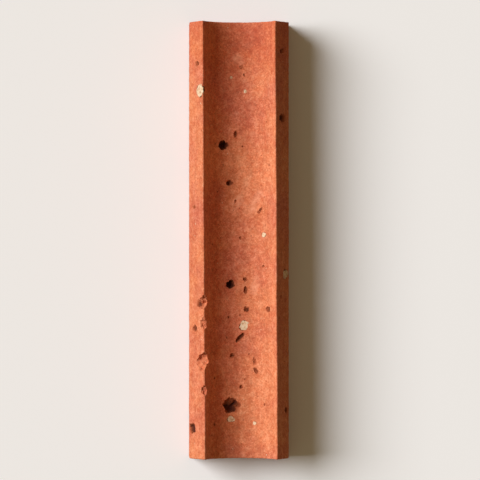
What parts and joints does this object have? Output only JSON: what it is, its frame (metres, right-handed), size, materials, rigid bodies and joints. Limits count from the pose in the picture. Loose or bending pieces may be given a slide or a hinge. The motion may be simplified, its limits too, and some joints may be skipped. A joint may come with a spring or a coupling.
{
  "type": "facing brick",
  "caption": "Long, narrow facing brick of red fired clay, with a half-round groove along its face, raking flanks, square ends and a flat sawn back.",
  "frame": {"origin": "centre of the flat back, where the brick is bedded on the wall", "axes": "+Z out of the back, through the grooved face; +Y along the length, up the wall as the picture shows the brick laid; +X across the width"},
  "size_m": [0.055, 0.24, 0.035],
  "materials": {
    "fired_clay": "matte"
  },
  "bodies": {
    "root": {"fluted_brick": "fired_clay"}
  },
  "joints": []
}
